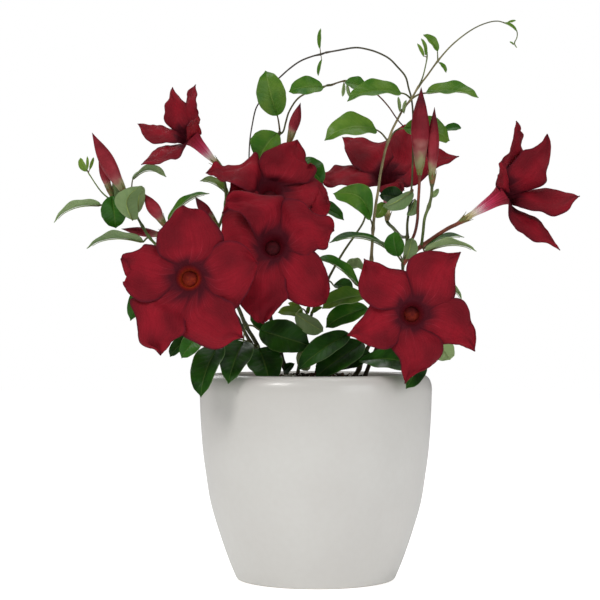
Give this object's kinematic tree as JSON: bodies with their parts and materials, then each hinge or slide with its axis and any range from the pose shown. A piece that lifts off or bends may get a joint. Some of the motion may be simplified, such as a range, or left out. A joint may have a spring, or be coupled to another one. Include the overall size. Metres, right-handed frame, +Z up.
{
  "type": "potted mandevilla",
  "caption": "Potted mandevilla: red trumpet flowers with five lobes, slim buds and glossy leaves on twining stems that arch out of a round white glazed pot.",
  "frame": {"origin": "centre of the pot's flat foot, where it meets the surface it stands on", "axes": "+Z up, the front of the plant faces -Y, +X to the right as seen from the front"},
  "size_m": [0.3153, 0.15, 0.3349],
  "materials": {
    "pot_glaze": "satin",
    "soil": "matte",
    "stem": "satin",
    "leaf": "satin",
    "petal": "matte",
    "bud": "satin"
  },
  "bodies": {
    "root": {"bud_center": "bud", "bud_left_inner": "bud", "bud_left_level": "bud", "bud_left_short": "bud", "bud_left_tall": "bud", "bud_left_upper": "bud", "bud_right_short": "bud", "bud_right_tall": "bud", "flower_center": "petal", "flower_center_top": "petal", "flower_front_left": "petal", "flower_front_right": "petal", "flower_right": "petal", "flower_right_rear": "petal", "flower_upper_left": "petal", "leaf_behind_right": "leaf", "leaf_center_big": "leaf", "leaf_center_pale": "leaf", "leaf_front_dark": "leaf", "leaf_glossy": "leaf", "leaf_heart": "leaf", "leaf_hooked": "leaf", "leaf_left_arched": "leaf", "leaf_left_high": "leaf", "leaf_left_long": "leaf", "leaf_left_low": "leaf", "leaf_left_pale": "leaf", "leaf_left_round": "leaf", "leaf_long_dark": "leaf", "leaf_low_dark": "leaf", "leaf_low_left": "leaf", "leaf_mid": "leaf", "leaf_mid_top": "leaf", "leaf_mid_upper": "leaf", "leaf_oval": "leaf", "leaf_right_low": "leaf", "leaf_right_lower": "leaf", "leaf_right_round": "leaf", "leaf_right_upper": "leaf", "leaf_rim_far_left": "leaf", "leaf_rim_left": "leaf", "leaf_rim_right": "leaf", "leaf_rim_tip": "leaf", "leaf_round_top": "leaf", "leaf_shoot_left": "leaf", "leaf_shoot_right": "leaf", "leaf_top_olive": "leaf", "leaf_top_pair": "leaf", "pot": "pot_glaze", "potting_soil": "soil", "vine_arch_fall": "stem", "vine_arch_inner": "stem", "vine_arch_rise": "stem", "vine_center": "stem", "vine_left": "stem", "vine_left_rear": "stem", "vine_middle": "stem", "vine_right": "stem", "vine_tall": "stem", "vine_tall_shoot": "stem"}
  },
  "joints": []
}
